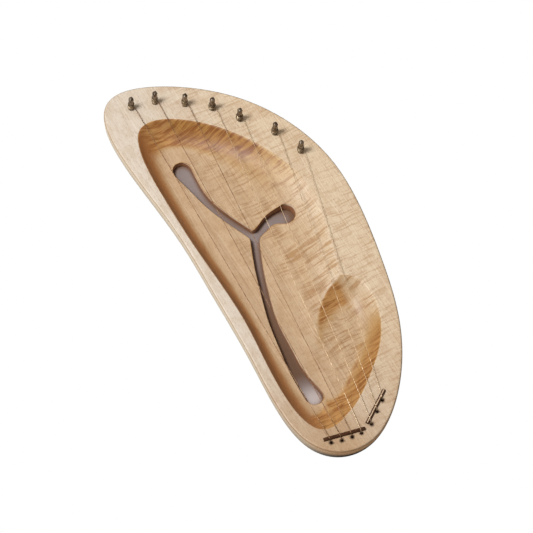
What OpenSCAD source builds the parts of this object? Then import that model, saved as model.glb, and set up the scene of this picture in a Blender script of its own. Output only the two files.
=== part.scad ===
// Seven-string children's lyre: a bean-shaped body carved from one piece of maple, seven zither pins
// along the curved shoulder, and plain wire strings that fan down to two low bridges.
// The body lies on its flat back. The origin is under the middle of the outline, on the back face.
// +Z leaves the front face and +Y runs along the grain towards the tuning pins.

/* [Body] */
// Length of the body along the grain
body_length = 441; // [400:1:480]
// Width of the body
body_width = 179.5; // [170:0.5:190]
// Thickness of the body
body_thickness = 22; // [21:0.5:26]
// Radius of the rounded front edge
front_edge_r = 2; // [1:0.5:3]
// How far the rounded side draws in from the front to the back
side_inset = 9; // [6:0.5:10]

/* [Hollow] */
// Depth of the carved bowl
bowl_depth = 15.5; // [12:0.5:16]
// Depth of the scoop beside the bridges
scoop_depth = 15.5; // [10:0.5:15.5]
// Steepness of the carved walls: higher is steeper at the rim and flatter at the floor
wall_power = 2.2; // [1.6:0.1:3]

/* [Tuning pins] */
// Diameter of a zither pin
pin_d = 5; // [4.8:0.1:5.2]
// Height of a pin above the front face
pin_height = 18; // [16:0.5:20]
// Depth of a pin in the wood
pin_depth = 18.5; // [14:0.5:18.5]
// Radial clearance between a pin and its bore
pin_clearance = 0.03; // [0.02:0.01:0.08]
// Width across the flats of the square key end
key_square = 4.1; // [3.8:0.1:4.3]
// Height of the square key end
key_height = 8; // [6:0.5:9]

/* [Strings] */
// Height of the strings above the front face at the pins
string_height = 3; // [2.5:0.1:4]
// Turns of wire round each pin
coil_turns = 9; // [6:1:10]
// Distance from one turn of wire to the next
coil_pitch = 0.61; // [0.6:0.01:0.65]
// Diameter of the holes that anchor the strings
anchor_d = 2.4; // [2:0.1:2.6]

/* [Bridges] */
// Width of a bridge
bridge_width = 3.6; // [3:0.1:4]
// Height of a bridge above the front face
bridge_rise = 2.2; // [1.8:0.1:2.4]
// Depth of a bridge in its groove
bridge_bed = 2; // [1.5:0.1:2.5]

/* [Hidden] */

$fn = 48;
gap = 0.02;                       // between pieces that rest on each other
cut = 1;                          // how far a cutter runs past a face
top_z = body_thickness;

// The plan below is drawn round this middle, for a body of this size.
drawn_middle = [1.1, 1.7];
drawn_size = [179.4, 441.4];
function plan(p) = [
    (p[0] - drawn_middle[0]) * body_width / drawn_size[0],
    (p[1] - drawn_middle[1]) * body_length / drawn_size[1]
];

// Control points of the smooth closed curves, clockwise from the pin end.
OUTLINE = [
    [-58, 238], [46, 179], [90, 93], [93, 22], [77, -60], [54, -147],
    [-21, -235], [-96, -205], [-83, -91], [-83, -8], [-79, 65], [-97, 200]
];
BOWL_RIM = [
    [-73, 195], [-7, 167], [40, 109], [62, 38], [38, -27], [22, -90], [-4, -172],
    [-79, -207], [-76, -103], [-68, -54], [-74, 34], [-74, 77]
];
BOWL_FLOOR = [
    [-50, 156], [-24, 143], [-4, 106], [0, 48], [-14, -10], [-30, -60], [-34, -130],
    [-52, -178], [-59, -110], [-54, -55], [-54, 15], [-57, 85]
];
SCOOP_RIM = [
    [40, -50], [54, -82], [38, -128], [2, -160], [-44, -196], [-62, -150], [-50, -92], [-6, -50]
];
SCOOP_FLOOR = [
    [24, -84], [27, -98], [14, -120], [-10, -142], [-38, -160], [-40, -134], [-8, -104], [8, -90]
];

// The Y-shaped sound slot is three strokes: [x, y, half width] along each.
SLOT_FORK = [-13, 28, 4.2];
SLOT_STROKES = [
    [SLOT_FORK, [-19.5, 42, 4.1], [-26.5, 58, 4.1], [-33.5, 78, 4.2], [-37, 98, 5.3], [-39, 124, 9.2]],
    [SLOT_FORK, [-4, 31.5, 4.6], [6, 36, 5.4], [14, 37, 7.2], [23.5, 35, 10.4]],
    [SLOT_FORK, [-22.5, 5, 4], [-31, -19, 3.7], [-42, -58, 3.9], [-46.5, -92, 5.2], [-49, -118, 6.3],
        [-47.5, -147, 8.7]]
];

// Per string, from the longest to the shortest: pin, anchor hole, wire diameter, layers on the pin.
PIN_AT = [[-54.5, 201], [-31, 196.5], [-6.5, 181], [15, 165], [32.5, 142], [55, 112.5], [67, 83]];
ANCHOR_AT = [
    [-62.4, -202.3], [-52.7, -204.8], [-42.6, -206], [-33.2, -206.7],
    [-20.5, -202.9], [-9.5, -194.2], [0.7, -186.4]
];
WIRE_D = [0.6, 0.56, 0.52, 0.5, 0.46, 0.43, 0.4];
COIL_LAYERS = [1, 1, 1, 2, 2, 2, 2];

// Bridges: middle, length and angle in the plan. The bass bridge carries the longest strings.
BASS_BRIDGE = [[-47.7, -200.4], 40, -10.6];
TREBLE_BRIDGE = [[-8.3, -189.3], 39, 35.9];
bass_strings = 4;
bridge_top_z = top_z + bridge_rise;
bridge_r = bridge_width / 2;      // of the rounded crown

pin_r = pin_d / 2;
dome_h = 1.2;                     // of the rounded top of a pin
thread_depth = 0.2;
thread_pitch = 1;
plain_shank = 2;                  // least length without thread, under the front face
bore_spare = 0.5;                 // depth of a bore below its pin

coil_r = pin_r + gap;             // inner radius of the wound wire
wire_hole_d = 1.2;
wire_hole_z = coil_z(0) + coil_turns * coil_pitch + wire_hole_d / 2;

// A wire bends just above its anchor hole, leans to the middle of the hole and drops to its ball end.
mouth_offset = 0.5;
mouth_rise = 0.2;
mouth_drop = 3.5;

barrel_d = 3.2;                   // brass ball end, lying across its hole
barrel_length = 3;
barrel_neck_d = 2;
barrel_chamfer = 0.3;
seat_d = 4.5;                     // counterbore that holds a ball end
seat_z = 5;

// A string leaves its pin just under the lowest turn of its coil.
function coil_z(i) = top_z + string_height + WIRE_D[i] / 2 + gap;

// --- Curves -----------------------------------------------------------------------------------

// Point t of the span from control point i to the next, on a uniform cubic B-spline.
function spline_point(c, i, t) =
    let (n = len(c))
    ((1 - t) ^ 3 * c[(i + n - 1) % n] + (3 * t ^ 3 - 6 * t ^ 2 + 4) * c[i]
        + (-3 * t ^ 3 + 3 * t ^ 2 + 3 * t + 1) * c[(i + 1) % n] + t ^ 3 * c[(i + 2) % n]) / 6;

// Closed curve whose first spans run down the curved side and whose other spans run back up.
// Both sides get down_spans * down_steps points, so that rungs from side to side can cap a loft.
function closed_curve(c, down_spans, down_steps) =
    let (up_steps = down_spans * down_steps / (len(c) - down_spans))
    [
        for (i = [0 : len(c) - 1])
            let (steps = i < down_spans ? down_steps : up_steps)
            for (s = [0 : steps - 1]) plan(spline_point(c, i, s / steps))
    ];

// Catmull-Rom curve through the points of a stroke.
function stroke_point(c, i, t) =
    let (
        last = len(c) - 1,
        a = c[max(i - 1, 0)],
        b = c[i],
        d = c[min(i + 1, last)],
        e = c[min(i + 2, last)]
    )
    ((2 * b) + (d - a) * t + (2 * a - 5 * b + 4 * d - e) * t ^ 2 + (3 * b - a - 3 * d + e) * t ^ 3) / 2;

function stroke_curve(c, steps) = concat(
    [for (i = [0 : len(c) - 2], s = [0 : steps - 1]) stroke_point(c, i, s / steps)],
    [c[len(c) - 1]]
);

function unit(v) = v / norm(v);

function edge_normal(loop, i) =
    let (
        n = len(loop),
        d = unit(loop[(i + 1) % n] - loop[(i + n - 1) % n])
    )
    [-d[1], d[0]];

// A clockwise loop drawn in by a distance.
function inset(loop, distance) = [for (i = [0 : len(loop) - 1]) loop[i] - distance * edge_normal(loop, i)];

function at_height(loop, z) = [for (p = loop) [p[0], p[1], z]];

function mix_loops(a, b, s) = [for (i = [0 : len(a) - 1]) a[i] + s * (b[i] - a[i])];

// --- Lofted solids ----------------------------------------------------------------------------

// Closed solid through clockwise loops, lowest first, capped by rungs from side to side.
module loft(loops) {
    n = len(loops[0]);
    last = (len(loops) - 1) * n;
    function ladder(start, up) = [
        for (i = [0 : n / 2 - 1])
            let (
                a = start + i,
                b = start + i + 1,
                c = start + n - i - 1,
                d = start + (n - i) % n
            )
            each [
                if (a != d) up ? [a, b, d] : [d, b, a],
                if (b != c) up ? [b, c, d] : [d, c, b]
            ]
    ];
    walls = [
        for (k = [0 : len(loops) - 2], i = [0 : n - 1])
            let (
                a = k * n + i,
                b = k * n + (i + 1) % n
            )
            each [[a, a + n, b], [b, a + n, b + n]]
    ];
    polyhedron([for (l = loops) each l], concat(ladder(0, false), walls, ladder(last, true)));
}

// A hollow whose wall starts steep at the rim and levels out towards its floor.
module carved_hollow(rim, floor_loop, depth) {
    wall_steps = 9;
    loft(concat(
        [for (k = [wall_steps : -1 : 0])
            let (s = k / wall_steps)
            at_height(mix_loops(rim, floor_loop, s), top_z - depth * (1 - (1 - s) ^ wall_power))],
        [at_height(rim, top_z + cut)]
    ));
}

// The uncarved body: its side swells from the back face as a quarter ellipse, up to the front edge.
module blank() {
    outline = closed_curve(OUTLINE, len(OUTLINE) / 2, 7);
    side_h = top_z - front_edge_r;
    side_step = 15;
    edge_step = 30;
    difference() {
        loft(concat(
            [at_height(inset(outline, side_inset), -cut)],
            [for (a = [90 : -side_step : 0])
                at_height(inset(outline, side_inset * (1 - cos(a))), side_h * (1 - sin(a)))],
            [for (a = [edge_step : edge_step : 90])
                at_height(inset(outline, front_edge_r * (1 - cos(a))), side_h + front_edge_r * sin(a))],
            [at_height(inset(outline, front_edge_r), top_z + cut)]
        ));
        translate([-body_width, -body_length, -2 * cut]) cube([2 * body_width, 2 * body_length, 2 * cut]);
        translate([-body_width, -body_length, top_z]) cube([2 * body_width, 2 * body_length, 2 * cut]);
    }
}

// --- Sound slot -------------------------------------------------------------------------------

// One stroke of the slot, with a round end.
module slot_stroke(stroke) {
    path = stroke_curve(stroke, 5);
    last = len(path) - 1;
    end_step = 15;
    function side(i) =
        let (
            a = path[max(i - 1, 0)],
            b = path[min(i + 1, last)],
            d = unit([b[0] - a[0], b[1] - a[1]])
        )
        [-d[1], d[0]];
    function offset_point(i, sign) = [path[i][0], path[i][1]] + sign * path[i][2] * side(i);
    end_normal = side(last);
    end_angle = atan2(end_normal[1], end_normal[0]);
    polygon([for (p = concat(
        [for (i = [0 : last]) offset_point(i, 1)],
        [for (a = [end_step : end_step : 180 - end_step])
            [path[last][0], path[last][1]] + path[last][2] * [cos(end_angle - a), sin(end_angle - a)]],
        [for (i = [last : -1 : 0]) offset_point(i, -1)]
    )) plan(p)]);
}

module sound_slot() {
    translate([0, 0, -cut]) {
        for (stroke = SLOT_STROKES) linear_extrude(top_z + 2 * cut) slot_stroke(stroke);
        translate(plan(SLOT_FORK)) cylinder(h = top_z + 2 * cut, r = SLOT_FORK[2]);
    }
}

// --- Body -------------------------------------------------------------------------------------

module bridge_place(bridge) {
    translate(plan(bridge[0])) rotate([0, 0, bridge[2]]) children();
}

module bridge_groove(bridge) {
    bridge_place(bridge)
        translate([-bridge[1] / 2 - gap, -bridge_r - gap, top_z - bridge_bed - gap])
            cube([bridge[1] + 2 * gap, bridge_width + 2 * gap, bridge_bed + gap + cut]);
}

module pin_bore(i) {
    translate([each plan(PIN_AT[i]), top_z - pin_depth - bore_spare])
        cylinder(h = pin_depth + bore_spare + cut, r = pin_r + pin_clearance);
}

module anchor_hole(i) {
    translate([each plan(ANCHOR_AT[i]), -cut]) {
        cylinder(h = top_z + 2 * cut, d = anchor_d);
        cylinder(h = seat_z + cut, d = seat_d);
    }
}

module body() {
    color([0.86, 0.73, 0.55])
    difference() {
        blank();
        carved_hollow(closed_curve(BOWL_RIM, 7, 5), closed_curve(BOWL_FLOOR, 7, 5), bowl_depth);
        carved_hollow(closed_curve(SCOOP_RIM, 4, 6), closed_curve(SCOOP_FLOOR, 4, 6), scoop_depth);
        sound_slot();
        bridge_groove(BASS_BRIDGE);
        bridge_groove(TREBLE_BRIDGE);
        for (i = [0 : len(PIN_AT) - 1]) pin_bore(i);
        for (i = [0 : len(ANCHOR_AT) - 1]) anchor_hole(i);
    }
}

// A low rosewood strip with a rounded top, let into its groove.
module bridge(place) {
    color([0.28, 0.16, 0.11])
    bridge_place(place)
        translate([-place[1] / 2, 0, 0])
            rotate([90, 0, 90])
                linear_extrude(place[1])
                    union() {
                        translate([-bridge_r, top_z - bridge_bed])
                            square([bridge_width, bridge_bed + bridge_rise - bridge_r]);
                        translate([0, bridge_top_z - bridge_r]) circle(r = bridge_r);
                    }
}

// --- Tuning pins ------------------------------------------------------------------------------

// Fine thread on the part of the pin that sits in the wood.
module pin_thread(length) {
    turns = floor(length / thread_pitch);
    rotate_extrude() polygon(concat(
        [[0, 0]],
        [for (i = [0 : turns - 1]) each [
            [pin_r - thread_depth, i * thread_pitch],
            [pin_r, (i + 0.5) * thread_pitch]
        ]],
        [[pin_r - thread_depth, turns * thread_pitch], [0, turns * thread_pitch]]
    ));
}

// Round rod standing on the origin, whose top swells into a shallow dome.
module domed_rod(r, h, dome) {
    dome_step = 11.25;
    rotate_extrude() polygon(concat(
        [[0, 0], [r, 0]],
        [for (a = [0 : dome_step : 90]) [r * cos(a), h - dome + dome * sin(a)]]
    ));
}

module tuning_pin(i) {
    shank_h = floor((pin_depth - plain_shank) / thread_pitch) * thread_pitch;
    key_z = pin_height - key_height;
    color([0.55, 0.52, 0.48])
    translate([each plan(PIN_AT[i]), top_z])
        difference() {
            union() {
                translate([0, 0, -pin_depth]) pin_thread(shank_h);
                translate([0, 0, shank_h - pin_depth]) cylinder(h = pin_depth - shank_h + key_z, r = pin_r);
                intersection() {
                    translate([-key_square / 2, -key_square / 2, key_z - cut])
                        cube([key_square, key_square, key_height + 2 * cut]);
                    domed_rod(pin_r, pin_height, dome_h);
                }
            }
            translate([0, 0, wire_hole_z - top_z])
                rotate([90, 0, 0]) cylinder(h = 3 * pin_d, d = wire_hole_d, center = true);
        }
}

// Wire wound on a pin, one turn above the next, in one or two layers.
module string_coil(i) {
    wire_r = WIRE_D[i] / 2;
    reach = WIRE_D[i] * COIL_LAYERS[i];
    turn_step = 30;
    color([0.62, 0.60, 0.57])
    translate([each plan(PIN_AT[i]), coil_z(i)])
        rotate_extrude() polygon(concat(
            [[coil_r, 0]],
            [for (t = [0 : coil_turns - 1], a = [0 : turn_step : 180])
                if (t == 0 || a > 0)
                    [coil_r + reach - wire_r + wire_r * sin(a), (t + (1 - cos(a)) / 2) * coil_pitch]],
            [[coil_r, coil_turns * coil_pitch]]
        ));
}

// --- Strings ----------------------------------------------------------------------------------

module wire(from, to, d) {
    run = to - from;
    length = norm(run);
    translate(from)
        rotate([0, acos(run[2] / length), atan2(run[1], run[0])])
            cylinder(h = length, d = d);
}

module bend(at, d) {
    translate(at) sphere(d = d + 2 * gap);
}

// One string's speaking length, its bend over the bridge and its drop to the ball end.
module string(i) {
    d = WIRE_D[i];
    bridge = i < bass_strings ? BASS_BRIDGE : TREBLE_BRIDGE;
    pin = plan(PIN_AT[i]);
    anchor = plan(ANCHOR_AT[i]);

    // The wire leaves the pin on the side of the curved shoulder.
    along = unit(anchor - pin);
    wound_r = coil_r + d * COIL_LAYERS[i] - d / 2;
    start = pin + wound_r * [-along[1], along[0]];
    run = unit(anchor - start);

    bridge_dir = [cos(bridge[2]), sin(bridge[2])];
    slant = abs(cross(run, bridge_dir));
    ridge = start + cross(plan(bridge[0]) - start, bridge_dir) / cross(run, bridge_dir) * run;
    mouth = anchor - mouth_offset * run;
    mouth_z = top_z + mouth_rise;

    // The middle of the wire follows a circle round the crown, seen from the end of the bridge.
    // From the mouth it rises along a tangent to that circle, up to the level stretch.
    bend_r = bridge_r + d / 2 + 2 * gap;
    level_z = bridge_top_z - bridge_r + bend_r;
    behind = [norm(mouth - ridge) * slant, mouth_z - level_z + bend_r];
    fall = asin(bend_r / norm(behind)) - atan2(behind[1], behind[0]);
    crown = ridge + (behind[0] - (level_z - mouth_z) / tan(fall)) / slant * run;

    ring_z = seat_z - barrel_d / 2 - gap;
    path = [
        [each start, top_z + string_height],
        [each crown, level_z],
        [each mouth, mouth_z],
        [each anchor, mouth_z - mouth_drop],
        [each anchor, ring_z + barrel_neck_d / 2 + d / 4]
    ];
    color([0.72, 0.70, 0.67]) {
        for (k = [1 : len(path) - 1]) wire(path[k - 1], path[k], d);
        for (k = [1 : len(path) - 2]) bend(path[k], d);
        // The loop that ties the wire round the neck of its ball end.
        translate([each anchor, ring_z])
            rotate([90, 0, 90])
                rotate_extrude()
                    translate([barrel_neck_d / 2 + gap + d / 2, 0]) circle(d = d);
    }
}

// Brass barrel with a waist for the wire, pulled up against the step of its hole.
module ball_end(i) {
    waist = WIRE_D[i] + 4 * gap;
    flank = (barrel_length - waist) / 2;
    color([0.76, 0.60, 0.30])
    translate([each plan(ANCHOR_AT[i]), seat_z - barrel_d / 2 - gap])
        rotate([0, 90, 0])
            rotate_extrude()
                polygon([
                    [0, -barrel_length / 2],
                    [barrel_d / 2 - barrel_chamfer, -barrel_length / 2],
                    [barrel_d / 2, -barrel_length / 2 + barrel_chamfer],
                    [barrel_d / 2, -barrel_length / 2 + flank],
                    [barrel_neck_d / 2, -barrel_length / 2 + flank],
                    [barrel_neck_d / 2, barrel_length / 2 - flank],
                    [barrel_d / 2, barrel_length / 2 - flank],
                    [barrel_d / 2, barrel_length / 2 - barrel_chamfer],
                    [barrel_d / 2 - barrel_chamfer, barrel_length / 2],
                    [0, barrel_length / 2]
                ]);
}

// --- Nodes ------------------------------------------------------------------------------------

body();
bridge(BASS_BRIDGE);  // bridge_bass
bridge(TREBLE_BRIDGE);  // bridge_treble
tuning_pin(0);  // tuning_pin_1
tuning_pin(1);  // tuning_pin_2
tuning_pin(2);  // tuning_pin_3
tuning_pin(3);  // tuning_pin_4
tuning_pin(4);  // tuning_pin_5
tuning_pin(5);  // tuning_pin_6
tuning_pin(6);  // tuning_pin_7
string_coil(0);  // string_coil_1
string_coil(1);  // string_coil_2
string_coil(2);  // string_coil_3
string_coil(3);  // string_coil_4
string_coil(4);  // string_coil_5
string_coil(5);  // string_coil_6
string_coil(6);  // string_coil_7
string(0);  // string_1
string(1);  // string_2
string(2);  // string_3
string(3);  // string_4
string(4);  // string_5
string(5);  // string_6
string(6);  // string_7
ball_end(0);  // ball_end_1
ball_end(1);  // ball_end_2
ball_end(2);  // ball_end_3
ball_end(3);  // ball_end_4
ball_end(4);  // ball_end_5
ball_end(5);  // ball_end_6
ball_end(6);  // ball_end_7
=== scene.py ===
"""Looks, light and camera for the seven-string children's lyre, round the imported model.

Lengths are in millimetres on the plan of the lyre and become metres where a mesh is made.
A loop runs with the solid on its left: anticlockwise round the outline, clockwise round a hole.
"""

import math

import bpy
import numpy as np
from mathutils import Matrix, Vector, geometry, kdtree
from mathutils.bvhtree import BVHTree


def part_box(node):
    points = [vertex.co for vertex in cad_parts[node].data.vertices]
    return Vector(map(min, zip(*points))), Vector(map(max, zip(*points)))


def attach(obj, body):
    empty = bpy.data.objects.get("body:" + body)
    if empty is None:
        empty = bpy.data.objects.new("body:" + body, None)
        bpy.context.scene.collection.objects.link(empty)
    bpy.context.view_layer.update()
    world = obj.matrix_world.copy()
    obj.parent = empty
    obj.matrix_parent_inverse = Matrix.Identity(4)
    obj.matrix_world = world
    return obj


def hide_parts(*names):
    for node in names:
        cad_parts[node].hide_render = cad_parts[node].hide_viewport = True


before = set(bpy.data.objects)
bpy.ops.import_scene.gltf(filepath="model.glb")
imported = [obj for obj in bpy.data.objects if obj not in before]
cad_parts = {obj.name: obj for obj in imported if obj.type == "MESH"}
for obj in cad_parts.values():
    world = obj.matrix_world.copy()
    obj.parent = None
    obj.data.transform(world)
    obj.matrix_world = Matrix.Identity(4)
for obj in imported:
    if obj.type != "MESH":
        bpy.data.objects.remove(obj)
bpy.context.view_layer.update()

MM = 0.001
STRINGS = range(1, 8)
SEED = 7


def box_mm(node):
    """Lowest and highest corner of a CAD node in millimetres."""
    low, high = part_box(node)
    return np.array(low) / MM, np.array(high) / MM


def placed(name, data, matrix=None):
    """A new object in the scene."""
    made = bpy.data.objects.new(name, data)
    bpy.context.scene.collection.objects.link(made)
    if matrix is not None:
        made.matrix_world = matrix
    return made


body_low, body_high = box_mm("body")
TOP = body_high[2]

# --- Plan of the body, drawn round the middle of the lyre -

OUTLINE = [
    (-58, 238), (46, 179), (90, 93), (93, 22), (77, -60), (54, -147),
    (-21, -235), (-96, -205), (-83, -91), (-83, -8), (-79, 65), (-97, 200),
]
BOWL_RIM = [
    (-73, 195), (-7, 167), (40, 109), (62, 38), (38, -27), (22, -90), (-4, -172),
    (-79, -207), (-76, -103), (-68, -54), (-74, 34), (-74, 77),
]
BOWL_FLOOR = [
    (-50, 156), (-24, 143), (-4, 106), (0, 48), (-14, -10), (-30, -60), (-34, -130),
    (-52, -178), (-59, -110), (-54, -55), (-54, 15), (-57, 85),
]
SCOOP_RIM = [
    (40, -50), (54, -82), (38, -128), (2, -160), (-44, -196), (-62, -150), (-50, -92), (-6, -50),
]
SCOOP_FLOOR = [
    (24, -84), (27, -98), (14, -120), (-10, -142), (-38, -160), (-40, -134), (-8, -104), (8, -90),
]
# Strokes of the Y-shaped sound slot: (x, y, half width) from the fork to each tip.
FORK = (-13, 28, 4.2)
SLOT_STROKES = [
    [FORK, (-19.5, 42, 4.1), (-26.5, 58, 4.1), (-33.5, 78, 4.2), (-37, 98, 5.3), (-39, 124, 9.2)],
    [FORK, (-4, 31.5, 4.6), (6, 36, 5.4), (14, 37, 7.2), (23.5, 35, 10.4)],
    [FORK, (-22.5, 5, 4), (-31, -19, 3.7), (-42, -58, 3.9), (-46.5, -92, 5.2), (-49, -118, 6.3),
     (-47.5, -147, 8.7)],
]
BOWL_DEPTH = 15.5
SCOOP_DEPTH = 15.5
WALL_POWER = 2.2  # higher is steeper at the rim and flatter at the floor
FRONT_EDGE_R = 2
SIDE_INSET = 9  # how far the rounded side draws in from front to back
BACK_START = 4  # inset at which the side's loops end and the back's mesh begins

RIM_SOFTNESS = 1.3  # height over which a hollow rounds into the front face
RIDGE_SOFTNESS = 1.6  # the same between the bowl and the scoop
SLOT_EDGE_R = 0.8
SLOT_BACK_R = 1.0
BORE_SPARE = 0.5  # depth of a bore below its pin
BORE_R = 2.53
ANCHOR_R = 1.2
COUNTERSINK = 0.2  # width and depth of the eased edge of an anchor hole
SEAT_R = 2.25  # counterbore that holds a ball end
SEAT_Z = 5
GROOVE_GAP = 0.02
BORE_SIDES = 32
ANCHOR_SIDES = 24
BRIDGES = ("bridge_bass", "bridge_treble")

FRONT_STEP = 1.6  # spacing of the loose mesh points on the front and the back
BACK_STEP = 4.0
LOOP_STEP = 1.1  # spacing of points along loops


# --- Curves -----------------------------------------------


def closed_spline(controls, steps):
    """Points of a closed uniform cubic B-spline."""
    p = np.array(controls, float)
    before, here, after, beyond = (np.roll(p, k, 0)[:, None, :] for k in (1, 0, -1, -2))
    t = (np.arange(steps) / steps)[None, :, None]
    spans = (
        (1 - t) ** 3 * before
        + (3 * t ** 3 - 6 * t ** 2 + 4) * here
        + (-3 * t ** 3 + 3 * t ** 2 + 3 * t + 1) * after
        + t ** 3 * beyond
    ) / 6
    return spans.reshape(-1, p.shape[1])


def open_spline(controls, steps):
    """Points of a Catmull-Rom curve through its control points."""
    p = np.array(controls, float)
    p = np.concatenate([p[:1], p, p[-1:]])
    t = (np.arange(steps) / steps)[None, :, None]
    a, b, c, d = (p[k:len(p) - 3 + k][:, None, :] for k in range(4))
    spans = (2 * b + (c - a) * t + (2 * a - 5 * b + 4 * c - d) * t ** 2
             + (3 * b - a - 3 * c + d) * t ** 3) / 2
    return np.concatenate([spans.reshape(-1, p.shape[1]), p[-1:]])


def plan_fit():
    """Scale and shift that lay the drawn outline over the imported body."""
    drawn = closed_spline(OUTLINE, 24)
    low, high = drawn.min(0), drawn.max(0)
    scale = (body_high - body_low)[:2] / (high - low)
    return scale, body_low[:2] - low * scale


PLAN_SCALE, PLAN_SHIFT = plan_fit()


def plan(points):
    return np.asarray(points, float)[..., :2] * PLAN_SCALE + PLAN_SHIFT


def unit(v):
    return v / np.linalg.norm(v, axis=-1, keepdims=True)


def travel(loop):
    """Direction of travel at each point of a closed loop."""
    return unit(np.roll(loop, -1, 0) - np.roll(loop, 1, 0))


def moved_out(loop, distance):
    """The loop moved away from the solid, which lies on its left."""
    along = travel(loop)
    return loop + distance * np.stack([along[:, 1], -along[:, 0]], 1)


def resampled(loop, spacing):
    """A closed loop with even spacing."""
    closed = np.concatenate([loop, loop[:1]])
    reach = np.concatenate([[0], np.cumsum(np.linalg.norm(np.diff(closed, axis=0), axis=1))])
    count = int(round(reach[-1] / spacing))
    stops = np.arange(count) * reach[-1] / count
    return np.stack([np.interp(stops, reach, closed[:, k]) for k in (0, 1)], 1)


def full_turn(count):
    """Evenly spaced angles, once round."""
    return np.arange(count) * 2 * math.pi / count


def around(centre, radius, angles, z):
    """Points round an upright axis. The radius and z are numbers, or arrays beside the angles."""
    x, y = centre[0] + radius * np.cos(angles), centre[1] + radius * np.sin(angles)
    return np.stack([x, y, np.broadcast_to(z, x.shape)], 1)


def circle(centre, radius, count):
    """Clockwise circle."""
    return around(centre, radius, -full_turn(count), 0)[:, :2]


def inside(loop, points):
    """Whether each point lies inside a closed loop."""
    found = np.zeros(len(points), bool)
    for (ax, ay), (bx, by) in zip(loop, np.roll(loop, -1, 0)):
        spans = (ay > points[:, 1]) != (by > points[:, 1])
        if spans.any():
            crossing = ax + (points[:, 1] - ay) * (bx - ax) / (by - ay if by != ay else 1)
            found ^= spans & (points[:, 0] < crossing)
    return found


def distance_to(loop, points):
    """Distance from each point to the nearest edge of a closed loop."""
    edge = np.roll(loop, -1, 0) - loop
    length2 = (edge ** 2).sum(1)
    found = np.empty(len(points))
    for k in range(0, len(points), 1500):
        to_start = points[k:k + 1500, None, :] - loop
        share = np.clip((to_start * edge).sum(2) / length2, 0, 1)
        gap = to_start - share[..., None] * edge
        found[k:k + 1500] = np.sqrt((gap ** 2).sum(2).min(1))
    return found


# --- Front and back surfaces ------------------------------


def lower_of(a, b, softness):
    """The lower of two heights, rounded where they come within softness of each other."""
    near = np.maximum(softness - np.abs(a - b), 0) / softness
    return np.minimum(a, b) - near ** 2 * softness / 4


class Hollow:
    """A carved hollow whose wall starts steep at the rim and levels out towards the floor."""

    COLUMNS = 24  # per span of the rim
    RINGS = 48
    RUN_OUT = 0.15  # how far the wall is carried up past the rim, as a share of it

    def __init__(self, rim, floor, depth):
        rim_curve = plan(closed_spline(rim, self.COLUMNS))
        self.floor = plan(closed_spline(floor, self.COLUMNS))
        self.floor_z = TOP - depth
        self.rim = rim_curve
        count = len(rim_curve)
        points = []
        for share in np.linspace(-self.RUN_OUT, 1, self.RINGS):
            ring = rim_curve + share * (self.floor - rim_curve)
            z = TOP - depth * (1 - (1 - share) ** WALL_POWER)
            points += [(x, y, z) for x, y in ring]
        quads = [
            (r * count + i, r * count + (i + 1) % count,
             (r + 1) * count + (i + 1) % count, (r + 1) * count + i)
            for r in range(self.RINGS - 1) for i in range(count)
        ]
        self.walls = BVHTree.FromPolygons(points, quads)

    def heights(self, points):
        """Height of the hollow under each point, or far above where there is none."""
        above = TOP + 100
        found = np.where(inside(self.floor, points), self.floor_z, above)
        for k, (x, y) in enumerate(points):
            hit = self.walls.ray_cast(Vector((x, y, above)), Vector((0, 0, -1)))[0]
            if hit is not None:
                found[k] = hit.z
        return found


def stroke_gap(points, strokes):
    """Signed distance from each point to the nearest stroke of the slot."""
    found = np.full(len(points), 1e9)
    for x, y, half in np.concatenate(strokes):
        found = np.minimum(found, np.hypot(points[:, 0] - x, points[:, 1] - y) - half)
    return found


def slot_outline():
    """Loop round the Y-shaped slot: each stroke's sides, where they are clear of the others."""
    strokes = [open_spline(s, 40) for s in SLOT_STROKES]
    headings = [math.atan2(s[8, 1] - s[0, 1], s[8, 0] - s[0, 0]) for s in strokes]
    loop = []
    for k in np.argsort(headings):
        stroke = strokes[k]
        centre, half = stroke[:, :2], stroke[:, 2:]
        along = unit(np.gradient(centre, axis=0))
        left = np.stack([-along[:, 1], along[:, 0]], 1)
        tip = math.atan2(-left[-1, 1], -left[-1, 0]) + np.linspace(0, math.pi, 40)[1:-1]
        cap = centre[-1] + half[-1] * np.stack([np.cos(tip), np.sin(tip)], 1)
        path = np.concatenate([centre - half * left, cap, (centre + half * left)[::-1]])
        others = [s for j, s in enumerate(strokes) if j != k]
        loop.append(path[stroke_gap(path, others) > 0.05])
    loop = resampled(plan(np.concatenate(loop)), LOOP_STEP)
    near_fork = np.hypot(*(loop - plan(FORK)).T) < 12
    for _ in range(6):
        smooth = (np.roll(loop, 1, 0) + 2 * loop + np.roll(loop, -1, 0)) / 4
        loop[near_fork] = smooth[near_fork]
    return loop[::-1]


bowl = Hollow(BOWL_RIM, BOWL_FLOOR, BOWL_DEPTH)
scoop = Hollow(SCOOP_RIM, SCOOP_FLOOR, SCOOP_DEPTH)
outline = resampled(plan(closed_spline(OUTLINE, 60))[::-1], LOOP_STEP * 2)
slot = slot_outline()


def rounded_edge(distance, radius):
    """How far a rounded edge has fallen at a distance from it."""
    inward = np.clip(radius - distance, 0, radius)
    return radius - np.sqrt(radius ** 2 - inward ** 2)


def front_heights(points):
    hollows = lower_of(bowl.heights(points), scoop.heights(points), RIDGE_SOFTNESS)
    face = lower_of(TOP, hollows, RIM_SOFTNESS)
    return face - rounded_edge(distance_to(slot, points), SLOT_EDGE_R)


def side_height(inset):
    """Height of the rounded side at an inset from the outline."""
    share = np.clip(1 - inset / SIDE_INSET, 0, 1)
    return (TOP - FRONT_EDGE_R) * (1 - np.sqrt(1 - share ** 2))


def back_heights(points):
    return side_height(distance_to(outline, points))


# --- Meshes -----------------------------------------------


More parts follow.
